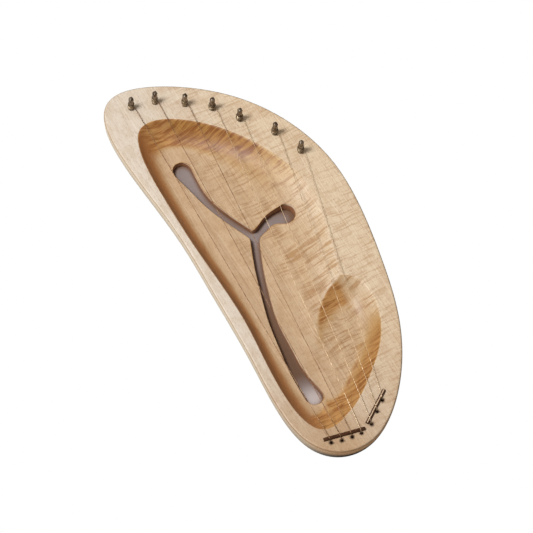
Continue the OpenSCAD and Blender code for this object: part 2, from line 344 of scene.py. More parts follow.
def spaced(candidates, placed, distance):
    """The candidates that keep a distance from every placed point."""
    tree = kdtree.KDTree(len(placed))
    for k, (x, y) in enumerate(placed):
        tree.insert((x, y, 0), k)
    tree.balance()
    keep = [tree.find((x, y, 0))[2] > distance for x, y in candidates]
    return candidates[np.array(keep, bool)]


def hexagonal_grid(spacing):
    """Loose points in rows, over the whole box of the body."""
    rows = np.arange(body_low[1], body_high[1], spacing * math.sqrt(3) / 2)
    across = np.arange(body_low[0], body_high[0], spacing)
    return np.concatenate([
        np.stack([across + (k % 2) * spacing / 2, np.full(len(across), y)], 1)
        for k, y in enumerate(rows)
    ])


def loose_points(boundary, holes, rings, grid_step):
    """Rings that follow the shape, then a grid between them, all inside the boundary."""
    placed = np.concatenate([boundary] + holes)
    loops = len(placed)
    for ring in rings:
        placed = np.concatenate([placed, spaced(ring, placed, 0.25)])
    grid = spaced(hexagonal_grid(grid_step), placed, 0.7 * grid_step)
    return np.concatenate([placed[loops:], grid])


def triangulated(boundary, holes, loose):
    """Points and triangles between a boundary and its holes, with each loop's point numbers."""
    loops = [boundary] + holes
    starts = np.cumsum([0] + [len(loop) for loop in loops])
    edges = [
        (start + i, start + (i + 1) % len(loop))
        for start, loop in zip(starts, loops) for i in range(len(loop))
    ]
    given = np.concatenate(loops + [loose])
    made = geometry.delaunay_2d_cdt([Vector(p) for p in given], edges, [], 0, 1e-6, True)
    points = np.array([tuple(p) for p in made[0]])
    faces = np.array(made[2])
    number = {given_k: k for k, origins in enumerate(made[3]) for given_k in origins}
    numbers = [np.array([number[start + i] for i in range(len(loop))])
               for start, loop in zip(starts, loops)]
    middle = points[faces].mean(1)
    keep = inside(boundary, middle)
    for hole in holes:
        keep &= ~inside(hole, middle)
    faces = faces[keep]
    a, b, c = (points[faces[:, k]] for k in range(3))
    area = np.cross(b - a, c - a)
    faces[area < 0] = faces[area < 0][:, ::-1]
    return points, faces, numbers


class MeshBuilder:
    """Collects points and faces of one piece."""

    def __init__(self):
        self.points = []
        self.faces = []

    def add(self, points):
        start = len(self.points)
        self.points += [tuple(float(c) for c in p) for p in points]
        return np.arange(start, len(self.points))

    def add_flat(self, loop, z):
        return self.add([(x, y, h) for (x, y), h in zip(loop, np.broadcast_to(z, len(loop)))])

    def band(self, upper, lower):
        """Quads between two loops with as many points as each other."""
        self.faces += [
            (upper[i - 1], lower[i - 1], lower[i], upper[i]) for i in range(len(upper))
        ]

    def chain(self, loops):
        for upper, lower in zip(loops, loops[1:]):
            self.band(upper, lower)

    def cap(self, loop):
        self.faces.append(tuple(loop))

    def piece(self, name, material, body, replaced, sharp=40, marks=None):
        """Makes the object, in metres, with smooth shading up to the sharp angle."""
        mesh = bpy.data.meshes.new(name)
        mesh.from_pydata([(x * MM, y * MM, z * MM) for x, y, z in self.points], [],
                         [tuple(int(k) for k in face) for face in self.faces])
        for mark, values in (marks or {}).items():
            mesh.attributes.new(mark, "FLOAT", "POINT").data.foreach_set("value", values)
        mesh.validate()
        mesh.shade_smooth()
        mesh.set_sharp_from_angle(angle=math.radians(sharp))
        mesh.materials.append(material)
        made = placed(name, mesh)
        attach(made, body)
        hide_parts(replaced)
        return made


def middle_of(node):
    low, high = box_mm(node)
    return (low + high) / 2


def strip_of(node):
    """Middle, direction, cross direction, length and width of a straight strip in the plan."""
    points = np.array([v.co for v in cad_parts[node].data.vertices])[:, :2] / MM
    middle = middle_of(node)[:2]
    along = np.linalg.svd(points - middle, full_matrices=False)[2][0]
    along = along * np.sign(along[0])
    across = np.array([-along[1], along[0]])
    return middle, along, across, np.ptp(points @ along), np.ptp(points @ across)


def groove_loop(node):
    """Clockwise rectangle round a bridge."""
    middle, along, across, length, width = strip_of(node)
    half_l, half_w = length / 2 + GROOVE_GAP, width / 2 + GROOVE_GAP
    corners = [middle + i * half_l * along + j * half_w * across
               for i, j in ((-1, -1), (-1, 1), (1, 1), (1, -1))]
    loop = []
    for start, end in zip(corners, corners[1:] + corners[:1]):
        count = int(round(np.linalg.norm(end - start) / LOOP_STEP))
        loop += [start + (end - start) * k / count for k in range(count)]
    return np.array(loop)


def front_rings():
    """Rings of mesh points along the slot's edge and along both rims."""
    rings = [moved_out(slot, -d) for d in (0.12, 0.4, SLOT_EDGE_R, 1.4)]
    for hollow in (bowl, scoop):
        rim = resampled(hollow.rim[::-1], LOOP_STEP)
        rings += [moved_out(rim, d) for d in (0.0, 0.5, -0.5, 1.1, -1.1, 2.0, -2.0)]
    edge = resampled(outline, LOOP_STEP * 2)
    rings += [moved_out(edge, -FRONT_EDGE_R - d) for d in (0.8, 2.0)]
    return rings


def back_rings(slot_back):
    """Rings of mesh points along the rounded side and round the slot's back edge."""
    rings = [moved_out(outline, -d) for d in (4.8, 5.7, 6.8, 8.2, 10.0)]
    return rings + [moved_out(slot_back, -1.5)]


def plan_surface(build, boundary, holes, loose, heights, facing_up):
    """Triangles between a boundary and its holes. Gives the point numbers along each loop."""
    points, faces, numbers = triangulated(boundary, holes, loose)
    placed = build.add_flat(points, heights(points))
    order = 1 if facing_up else -1
    build.faces += [tuple(placed[f][::order]) for f in faces]
    return [placed[n] for n in numbers]


def pocket(build, top, loop, floor_z):
    """Straight walls and a flat floor under a loop of the front."""
    floor = build.add_flat(loop, floor_z)
    build.band(top, floor)
    build.cap(floor[::-1])


def anchor_hole(build, top, centre, low):
    """Eased hole that opens into a wider seat at the back. Gives the numbers of its points."""
    neck, seat = (circle(centre, radius, ANCHOR_SIDES) for radius in (ANCHOR_R, SEAT_R))
    rings = [top, build.add_flat(neck, TOP - COUNTERSINK), build.add_flat(neck, SEAT_Z),
             build.add_flat(seat, SEAT_Z)]
    build.chain(rings + [low])
    return np.concatenate(rings)


def carved_body(material):
    """The one-piece body: front with its hollows, slot, bores and grooves, side and back."""
    build = MeshBuilder()
    pins = [f"tuning_pin_{k}" for k in STRINGS]
    bores = [circle(middle_of(pin), BORE_R, BORE_SIDES) for pin in pins]
    anchors = [middle_of(f"ball_end_{k}") for k in STRINGS]
    mouths = [circle(p, ANCHOR_R + COUNTERSINK, ANCHOR_SIDES) for p in anchors]
    grooves = [groove_loop(node) for node in BRIDGES]

    boundary = moved_out(outline, -FRONT_EDGE_R)
    holes = [slot] + bores + mouths + grooves
    loose = loose_points(boundary, holes, front_rings(), FRONT_STEP)
    edge, slot_top, *tops = plan_surface(build, boundary, holes, loose, front_heights, True)
    bore_tops, mouth_tops = tops[:len(bores)], tops[len(bores):-len(grooves)]
    groove_tops = tops[-len(grooves):]

    boundary = moved_out(outline, -BACK_START)
    slot_back = moved_out(slot, -SLOT_BACK_R)
    holes = [slot_back] + [circle(p, SEAT_R, ANCHOR_SIDES) for p in anchors]
    loose = loose_points(boundary, holes, back_rings(slot_back), BACK_STEP)
    back_edge, slot_low, *seat_lows = plan_surface(build, boundary, holes, loose, back_heights,
                                                   False)

    side(build, edge, back_edge)
    sawn = slot_walls(build, slot_top, slot_low)
    for top, bore, pin in zip(bore_tops, bores, pins):
        pocket(build, top, bore, box_mm(pin)[0][2] - BORE_SPARE)
    bored = [anchor_hole(build, *hole) for hole in zip(mouth_tops, anchors, seat_lows)]
    for top, groove, bridge in zip(groove_tops, grooves, BRIDGES):
        pocket(build, top, groove, box_mm(bridge)[0][2] - GROOVE_GAP)

    marks = {"hollow": in_a_hollow(np.array(build.points))}
    marks["hollow"][sawn] = 0
    for mark, numbers in (("sawn", sawn), ("bored", np.concatenate(bored))):
        marks[mark] = np.zeros(len(build.points))
        marks[mark][numbers] = 1
    return build.piece("carved_body", material, "lyre_body", "body", marks=marks)


def in_a_hollow(points):
    """1 for mesh points in the bowl or the scoop, 0 for the others."""
    found = np.zeros(len(points), bool)
    for hollow in (bowl, scoop):
        found |= inside(moved_out(resampled(hollow.rim[::-1], LOOP_STEP), 1.0), points[:, :2])
    return (found & (points[:, 2] > TOP - BOWL_DEPTH - 1)).astype(float)


def side(build, edge, back_edge):
    """Rounded front edge and the side that draws in towards the back."""
    loops = [edge]
    for a in np.radians(np.arange(75, -1, -15)):
        ring = moved_out(outline, -FRONT_EDGE_R * (1 - math.cos(a)))
        loops.append(build.add_flat(ring, TOP - FRONT_EDGE_R * (1 - math.sin(a))))
    steps = 12
    for k in range(1, steps):
        inset = BACK_START * (k / steps) ** 2
        loops.append(build.add_flat(moved_out(outline, -inset), side_height(inset)))
    build.chain(loops + [back_edge])


def slot_walls(build, top, low):
    """Straight walls of the slot, rounded into the back. Gives the numbers of their points."""
    heights = np.array([build.points[k][2] for k in top])
    loops = [top]
    for share in (0.25, 0.5, 0.75, 1):
        loops.append(build.add_flat(slot, heights + share * (SLOT_BACK_R - heights)))
    for a in np.radians((30, 60)):
        ring = moved_out(slot, -SLOT_BACK_R * (1 - math.cos(a)))
        loops.append(build.add_flat(ring, SLOT_BACK_R * (1 - math.sin(a))))
    build.chain(loops + [low])
    return np.concatenate(loops[1:])


# --- Wires, pins, bridges and ball ends -------------------

WIRE_D = (0.6, 0.56, 0.52, 0.5, 0.46, 0.43, 0.4)
COIL_LAYERS = (1, 1, 1, 2, 2, 2, 2)
BASS_STRINGS = 4
THICK_STRINGS = 3  # the lowest strings, of darker wire: bronze colour with painted shadow in it
COIL_GAP = 0.02  # between a pin and the wire wound on it
MOUTH_OFFSET = 0.5  # where a wire bends into its anchor hole, before the middle
MOUTH_RISE = 0.2
MOUTH_DROP = 3.5
NECK_R = 1.0  # waist of a ball end
TURN_STEPS = 24  # mesh points per turn of a coil
LOCK_TURNS = 3  # twists of a string above its ball end
BEND_LENGTH = 1.2  # over which a string rounds a bend

PIN_R = 2.5
KEY_HALF = 2.05  # half the width across the flats of the square key end
KEY_HEIGHT = 8
KEY_SHOULDER = 1.2  # over which the round shank turns square
KEY_CORNER = 0.3  # softness of the corners of the square
KEY_FILL = 0.02  # given back to the square for its softened corners
PIN_SIDES = 48
DOME_H = 1.2
THREAD_DEPTH = 0.2
THREAD_PITCH = 1
PLAIN_SHANK = 2
WIRE_HOLE_R = 0.6

STRIP_END_R = 0.9  # rounding of a bridge's ends
STRIP_FOOT = 0.15  # chamfer along a bridge's foot
STRIP_END_PINCH = 0.7  # how far the ends narrow and sink, as shares of the rounding
STRIP_END_SINK = 0.35
BALL_EDGE_R = 0.35
BALL_BORE_R = 0.3
WAIST_LIP = 0.15


def sweep(build, path, radius, sides=10, closed=False):
    """Round wire along a path."""
    path = np.asarray(path, float)
    if closed:
        ahead = np.roll(path, -1, 0) - np.roll(path, 1, 0)
    else:
        ahead = np.gradient(path, axis=0)
    ahead = unit(ahead)
    normal = np.cross(ahead[0], (0.3, 0.5, 0.8))
    angles = full_turn(sides)
    loops = []
    for point, along in zip(path, ahead):
        normal = unit(normal - (normal @ along) * along)
        other = np.cross(along, normal)
        ring = [point + radius * (math.cos(a) * normal + math.sin(a) * other) for a in angles]
        loops.append(build.add(ring))
    if closed:
        last = build.points[loops[-1][0]]
        gaps = [math.dist(last, build.points[k]) for k in loops[0]]
        loops.append(np.roll(loops[0], -int(np.argmin(gaps))))
    else:
        build.cap(loops[0][::-1])
        build.cap(loops[-1])
    for a, b in zip(loops, loops[1:]):
        build.band(b, a)


def softened(path, radius, steps=6):
    """An open path whose corners are rounded over a length."""
    path = [np.asarray(p, float) for p in path]
    made = [path[0]]
    for before, corner, after in zip(path, path[1:], path[2:]):
        reach_in = min(radius, np.linalg.norm(corner - before) / 2)
        reach_out = min(radius, np.linalg.norm(after - corner) / 2)
        start = corner + reach_in * unit(before - corner)
        end = corner + reach_out * unit(after - corner)
        for t in np.linspace(0, 1, steps):
            made.append((1 - t) ** 2 * start + 2 * t * (1 - t) * corner + t ** 2 * end)
    made.append(path[-1])
    return np.array(made)


def string_start(k):
    """Where a string leaves its pin, and the radius there: (x, y, z), radius."""
    d = WIRE_D[k - 1]
    pin = middle_of(f"tuning_pin_{k}")
    anchor = middle_of(f"ball_end_{k}")
    along = unit((anchor - pin)[:2])
    radius = PIN_R + COIL_GAP + d * COIL_LAYERS[k - 1] - d / 2
    place = pin[:2] + radius * np.array([-along[1], along[0]])
    return np.array([*place, box_mm(f"string_{k}")[1][2] - d / 2]), radius


def over_the_bridge(k, start, anchor):
    """The bends of a string over the crown of its bridge and into its anchor hole."""
    d = WIRE_D[k - 1]
    node = "bridge_bass" if k <= BASS_STRINGS else "bridge_treble"
    middle, bridge_dir, _, _, width = strip_of(node)
    crown_z = box_mm(node)[1][2]
    run = unit((anchor - start)[:2])
    slant = abs(np.cross(run, bridge_dir))
    ridge = start[:2] + np.cross(middle - start[:2], bridge_dir) / np.cross(run, bridge_dir) * run
    mouth = anchor[:2] - MOUTH_OFFSET * run
    mouth_z = TOP + MOUTH_RISE
    bend_r = width / 2 + d / 2 + 2 * GROOVE_GAP
    level_z = crown_z - width / 2 + bend_r
    behind = np.array([np.linalg.norm(mouth - ridge) * slant, mouth_z - level_z + bend_r])
    fall = math.asin(bend_r / np.linalg.norm(behind)) - math.atan2(behind[1], behind[0])
    crown = ridge + (behind[0] - (level_z - mouth_z) / math.tan(fall)) / slant * run
    return (*crown, level_z), (*mouth, mouth_z)


def string(k, material):
    """Speaking length, bends, drop to the ball end, loop round its neck and twisted lock."""
    d = WIRE_D[k - 1]
    start, _ = string_start(k)
    anchor = middle_of(f"ball_end_{k}")
    crown, mouth = over_the_bridge(k, start, anchor)
    loop_r = NECK_R + COIL_GAP + d / 2
    loop_top = anchor[2] + loop_r
    path = [
        start,
        start + (np.array(crown) - start) * 0.02,
        crown,
        mouth,
        (*anchor[:2], mouth[2] - MOUTH_DROP),
        (*anchor[:2], loop_top),
    ]
    build = MeshBuilder()
    sweep(build, softened(path, BEND_LENGTH), d / 2, 12)
    a = full_turn(28)
    loop = np.stack([np.full(len(a), anchor[0]), anchor[1] + loop_r * np.sin(a),
                     anchor[2] + loop_r * np.cos(a)], 1)
    sweep(build, loop, d / 2, closed=True)
    t = np.linspace(0, 1, LOCK_TURNS * 16)
    lock_r = d * 0.98 * np.minimum(1, 4 * t)
    lock_z = loop_top + 0.2 + t * LOCK_TURNS * d * 1.15
    sweep(build, around(anchor, lock_r, t * LOCK_TURNS * 2 * math.pi, lock_z), d / 2, 8)
    return build.piece(f"wire_{k}", material, "lyre_body", f"string_{k}")


def coil(k, material, rng):
    """Wire wound on a pin, from its hole down to a full ring at the height of the string."""
    d = WIRE_D[k - 1]
    start, outer_r = string_start(k)
    pin = middle_of(f"tuning_pin_{k}")
    top_z = box_mm(f"string_coil_{k}")[1][2]
    inner_r = PIN_R + COIL_GAP + d / 2
    hole_z = top_z + WIRE_HOLE_R
    # Stations along the wire: turns since the hole, radius, height.
    stations = [(0, 0.4, hole_z), (0.12, 1.6, hole_z), (0.3, inner_r + d * 0.35, hole_z - d * 0.3),
                (0.6, inner_r, top_z - d / 2)]
    turns = (top_z - start[2]) / (d * 1.03) - 1
    if COIL_LAYERS[k - 1] == 1:
        stations.append((0.6 + turns, inner_r, start[2] + d))
        stations.append((1.6 + turns, inner_r, start[2]))
    else:
        stations.append((0.6 + turns, inner_r, start[2] + d * 0.2))
        turns += 0.6
        for share, turn in ((0.75, 4), (0.15, 3), (0.5, 2)):
            turns += turn
            lift = rng.uniform(-0.15, 0.25) * d
            stations.append((turns, outer_r + lift, start[2] + share * (top_z - start[2])))
        stations.append((turns + 1.3, outer_r, start[2]))
    stations = np.array(stations)
    steps = int(stations[-1, 0] * TURN_STEPS)
    t = np.linspace(0, stations[-1, 0], steps)
    radius = np.interp(t, stations[:, 0], stations[:, 1])
    height = np.interp(t, stations[:, 0], stations[:, 2])
    turn = 2 * math.pi * t + rng.uniform(0, 2 * math.pi)
    build = MeshBuilder()
    sweep(build, around(pin, radius, turn, height), d / 2, 8)
    sweep(build, around(pin, outer_r, full_turn(40), start[2]), d / 2, 8, closed=True)
    return build.piece(f"wound_wire_{k}", material, f"pin_{k}", f"string_coil_{k}")


def pin_radius(angle, z, key_z, top_z, thread_top):
    """Outer radius of a tuning pin at an angle and height."""
    square = KEY_HALF / np.maximum(np.abs(np.cos(angle)), np.abs(np.sin(angle)))
    square = lower_of(PIN_R, square, KEY_CORNER) + KEY_FILL
    share = np.clip((z - key_z) / KEY_SHOULDER, 0, 1)
    share = share * share * (3 - 2 * share)
    radius = PIN_R + share * (square - PIN_R)
    if z < thread_top:
        phase = (z / THREAD_PITCH - angle / (2 * math.pi)) % 1
        radius = PIN_R - THREAD_DEPTH * np.abs(2 * phase - 1)
    if z > top_z - DOME_H:
        radius = radius * math.sqrt(max(0.0, 1 - ((z - top_z + DOME_H) / DOME_H) ** 2))
    return radius


def tuning_pin(k, material):
    """Threaded shank, plain neck and square key end with a domed top."""
    low, high = box_mm(f"tuning_pin_{k}")
    middle = (low + high)[:2] / 2
    key_z = high[2] - KEY_HEIGHT
    thread_top = TOP - PLAIN_SHANK
    angles = full_turn(PIN_SIDES)
    heights = np.concatenate([
        np.arange(low[2], thread_top, THREAD_PITCH / 4),
        np.linspace(thread_top, key_z, 12),
        np.linspace(key_z, key_z + KEY_SHOULDER, 8)[1:],
        np.linspace(key_z + KEY_SHOULDER, high[2] - DOME_H, 8)[1:],
        high[2] - DOME_H + DOME_H * np.sin(np.radians(np.arange(10, 90, 10))),
    ])
    build = MeshBuilder()
    loops = []
    for z in heights:
        radius = pin_radius(angles, z, key_z, high[2], thread_top)
        loops.append(build.add(around(middle, radius, angles, z)))
    build.chain(loops[::-1])
    build.cap(loops[0][::-1])
    tip = build.add([(*middle, high[2])])[0]
    build.faces += [(loops[-1][i - 1], loops[-1][i], tip) for i in range(PIN_SIDES)]
    return build.piece(f"pin_steel_{k}", material, f"pin_{k}",
                       f"tuning_pin_{k}", sharp=50)


def bridge_strip(node, material):
    """Low strip with a crowned top and softened ends."""
    middle, along, across, length, width = strip_of(node)
    low, high = box_mm(node)
    crown, height = width / 2, (high - low)[2]
    turn = STRIP_END_R * np.sin(np.radians(np.arange(15, 91, 15)))
    straight = length / 2 - STRIP_END_R
    stations = np.concatenate([
        (straight + turn)[::-1], np.linspace(straight, -straight, 50), -straight - turn,
    ])
    arc = np.radians(np.arange(0, 181, 12))
    profile = np.concatenate([
        [(crown - STRIP_FOOT, 0), (crown, STRIP_FOOT)],
        np.stack([crown * np.cos(arc), height - crown + crown * np.sin(arc)], 1),
        [(-crown, STRIP_FOOT), (STRIP_FOOT - crown, 0)],
    ])
    build = MeshBuilder()
    loops = []
    for s in stations:
        past = max(0.0, abs(s) - straight)
        draw_in = STRIP_END_R - math.sqrt(max(0.0, STRIP_END_R ** 2 - past ** 2))
        narrow = 1 - STRIP_END_PINCH * draw_in / crown
        sunk = 1 - STRIP_END_SINK * draw_in / height
        loops.append(build.add([
            (*(middle + s * along + w * narrow * across), low[2] + z * sunk) for w, z in profile
        ]))
    build.chain(loops)
    build.cap(loops[0])
    build.cap(loops[-1][::-1])
    return build.piece(f"{node}_strip", material, "lyre_body", node, sharp=60)


def ball_end(k, material):
    """Brass barrel with a waist for the wire, lying along X."""
    low, high = box_mm(f"ball_end_{k}")
    middle = (low + high) / 2
    half, radius = (high - low)[0] / 2, (high - low)[2] / 2
    waist = WIRE_D[k - 1] / 2 + 2 * GROOVE_GAP
    edge = [(half - BALL_EDGE_R * (1 - math.cos(a)), radius - BALL_EDGE_R * (1 - math.sin(a)))
            for a in np.radians(np.arange(0, 91, 18))]
    lip = [(waist + WAIST_LIP, radius), (waist, radius - WAIST_LIP), (waist, NECK_R)]
    right = [(half, BALL_BORE_R)] + edge + lip
    profile = right + [(-x, r) for x, r in right[::-1]]
    angles = full_turn(32)
    build = MeshBuilder()
    loops = [
        build.add(middle + np.stack([np.full(len(angles), x), r * np.cos(angles),
                                     r * np.sin(angles)], 1))
        for x, r in profile
    ]
    build.chain(loops)
    build.cap(loops[0])
    build.cap(loops[-1][::-1])
    return build.piece(f"ball_{k}", material, "lyre_body", f"ball_end_{k}")


# --- Materials --------------------------------------------

# Colours as they look on screen in even light, 0 to 255; some hold painted light and shade, as
# marked. The first of a pair is the usual one.
PALE_FACE = (203, 193, 179)  # front of the maple on the straight side
WARM_FACE = (212, 194, 167)
FLOOR_BASS = (189, 162, 131)  # floors of the hollows, darker than the face as painted shade of the hollow
FLOOR_TREBLE = (194, 170, 138)
AMBER_LIGHT = (180, 137, 83)  # slopes that cut the fibres, between two waves
AMBER_DARK = (142, 92, 44)
AMBER_FLAME = (177, 141, 88)  # slopes along the fibres
AMBER_PAINTED_SHADE = (166, 113, 66)  # painted shade on slopes that turn away from the light
# painted shade at the rim of the steepest slopes that face away from the light
AMBER_PAINTED_RIM_SHADE = (128, 84, 52)
# slot walls: partly end grain, partly painted shade
SAWN_WALL_AND_SHADE = (158, 110, 78)
# painted shade inside the anchor holes
BORED_WALL_SHADE = (58, 36, 22)
SIDE_HIGH = (204, 184, 158)  # outer side, from front to back; the darkening towards the back is painted shade
SIDE_LOW = (60, 38, 29)
# painted light on the bass side, which faces the key light
SIDE_BASS_LIT = (232, 218, 196)
# outer side at the low end, painted near-black towards the back as shade
LOW_SIDE_HIGH = (226, 182, 136)
LOW_SIDE_LOW = (40, 29, 20)

# Tints that are laid over those colours; those marked are painted shade.
WAVE_TINT = (190, 149, 92)
MOTTLE_TINT = (228, 210, 190)
DARK_RING_TINT = (176, 132, 98)
LIGHT_RING_TINT = (244, 226, 200)
FIBRE_TINT = (196, 158, 122)
FLECK_TINT = (176, 130, 92)
# painted shade that tones down slopes facing the key light
FACING_KEY_SHADE = (232, 228, 220)
# more painted shade on those slopes at the pin end
PIN_END_KEY_SHADE = (230, 208, 148)
LOW_END_TINT = (226, 204, 178)
# painted shade on the rounded front edge
FRONT_EDGE_SHADE = (222, 212, 200)
# painted shade along the rounded far edge, which faces away from the light
FAR_EDGE_SHADE = (120, 112, 92)
SIDE_END_TINT = (200, 164, 130)

ROSEWOOD = (54, 31, 17), (90, 56, 34)
ROSEWOOD_PORES = (30, 18, 12)
# painted highlight along the crown of the treble bridge
ROSEWOOD_CROWN_HIGHLIGHT = (214, 190, 160)
NICKEL = (150, 138, 124), (82, 68, 54)
BRIGHT_WIRE = (228, 206, 174), (182, 156, 124)
# bronze wire of the lowest strings, darkened further as painted shadow of the string
BRONZE_WIRE_AND_SHADOW = (164, 130, 100), (116, 86, 62)
WOUND_WIRE = (170, 154, 130), (96, 78, 56)
BRASS = (214, 176, 104), (160, 118, 60)
# grey felt sheet of painted shade under the lyre, seen through the slot
FELT = (126, 114, 112), (144, 132, 130)
FELT_STEM_BOUNCE = (96, 70, 52)
FELT_LOW_END_LIGHT = (184, 174, 172)
FELT_NARROWS_SHADE = (108, 80, 60)
FLOOR_BOUNCE = (150, 148, 146)

PITH_X, PITH_Z = -140.0, -90.0  # middle of the growth rings
FAR_SIDE = (0.57, 0.82, 0)  # direction that the far edge of the front faces


def linear(shade):
    """Linear colour with alpha from a colour as it looks on screen, 0 to 255."""
    made = []
    for value in shade:
        c = value / 255
        made.append(c / 12.92 if c <= 0.04045 else ((c + 0.055) / 1.055) ** 2.4)
    return (*made, 1.0)


class Value:
    """An output of a node. Arithmetic with it adds nodes."""

    def __init__(self, shader, socket):
        self.shader = shader
        self.socket = socket

    def __add__(self, other):
        return self.shader.math("ADD", self, other)

    def __sub__(self, other):
        return self.shader.math("SUBTRACT", self, other)

    def __rsub__(self, other):
        return self.shader.math("SUBTRACT", other, self)

    def __mul__(self, other):
        return self.shader.math("MULTIPLY", self, other)

    def __abs__(self):
        return self.shader.math("ABSOLUTE", self)


class Shader:
    """Builds the nodes of one material or sky."""

    def __init__(self, name, kind="materials"):
        self.owner = getattr(bpy.data, kind).new(name)
        self.owner.use_nodes = True
        self.tree = self.owner.node_tree
        self.tree.nodes.clear()

    def node(self, kind, output, inputs=None, **properties):
        """Adds a node, with inputs that are plain or a Value, and gives one of its outputs."""
        made = self.tree.nodes.new("ShaderNode" + kind)
        for name, value in properties.items():
            setattr(made, name, value)
        for name, value in (inputs or {}).items():
            if isinstance(value, Value):
                self.tree.links.new(value.socket, made.inputs[name])
            else:
                made.inputs[name].default_value = value
        return Value(self, made.outputs[output])

    def finished(self, surface, output="OutputMaterial"):
        end = self.tree.nodes.new("ShaderNode" + output)
        self.tree.links.new(surface.socket, end.inputs["Surface"])
        return self.owner

    def math(self, operation, a, b=0.0):
        return self.node("Math", 0, {0: a, 1: b}, operation=operation)

    def ramp(self, value, low, high, start=0.0, end=1.0):
        """Smooth step of a value from low to high."""
        ends = {"Value": value, "From Min": low, "From Max": high, "To Min": start, "To Max": end}
        return self.node("MapRange", "Result", ends, interpolation_type="SMOOTHSTEP")

    def mix(self, share, a, b, blend="MIX"):
        """Blend of two values or screen colours."""
        a, b = (linear(c) if isinstance(c, tuple) else c for c in (a, b))
        return self.node("Mix", 2, {0: share, 6: a, 7: b}, data_type="RGBA", blend_type=blend)

    def tinted(self, colour, share, tint):
        return self.mix(share, colour, tint, "MULTIPLY")

    def place(self):
        """Position on the object in millimetres."""
        where = self.node("TexCoord", "Object")
        return self.node("VectorMath", 0, {0: where, 3: 1 / MM}, operation="SCALE")

    def normal(self):
        return self.node("TexCoord", "Normal")

    def parts(self, vector):
        return [self.node("SeparateXYZ", k, {0: vector}) for k in range(3)]

    def noise(self, steps, detail=2.0, roughness=0.5, distortion=0.0, where=None):
        """Noise with features about as long as the steps, in millimetres along X, Y and Z."""
        spread = {0: where or self.place(), 1: [1 / step for step in steps]}
        vector = self.node("VectorMath", 0, spread, operation="MULTIPLY")
        return self.node("TexNoise", "Fac", {"Vector": vector, "Scale": 1.0, "Detail": detail,
                                             "Roughness": roughness, "Distortion": distortion})

    def bump(self, height, depth_mm, strength, **under):
        inputs = {"Height": height, "Distance": depth_mm * MM, "Strength": strength, **under}
        return self.node("Bump", 0, inputs)

    def surface(self, inputs):
        return self.finished(self.node("BsdfPrincipled", 0, inputs))


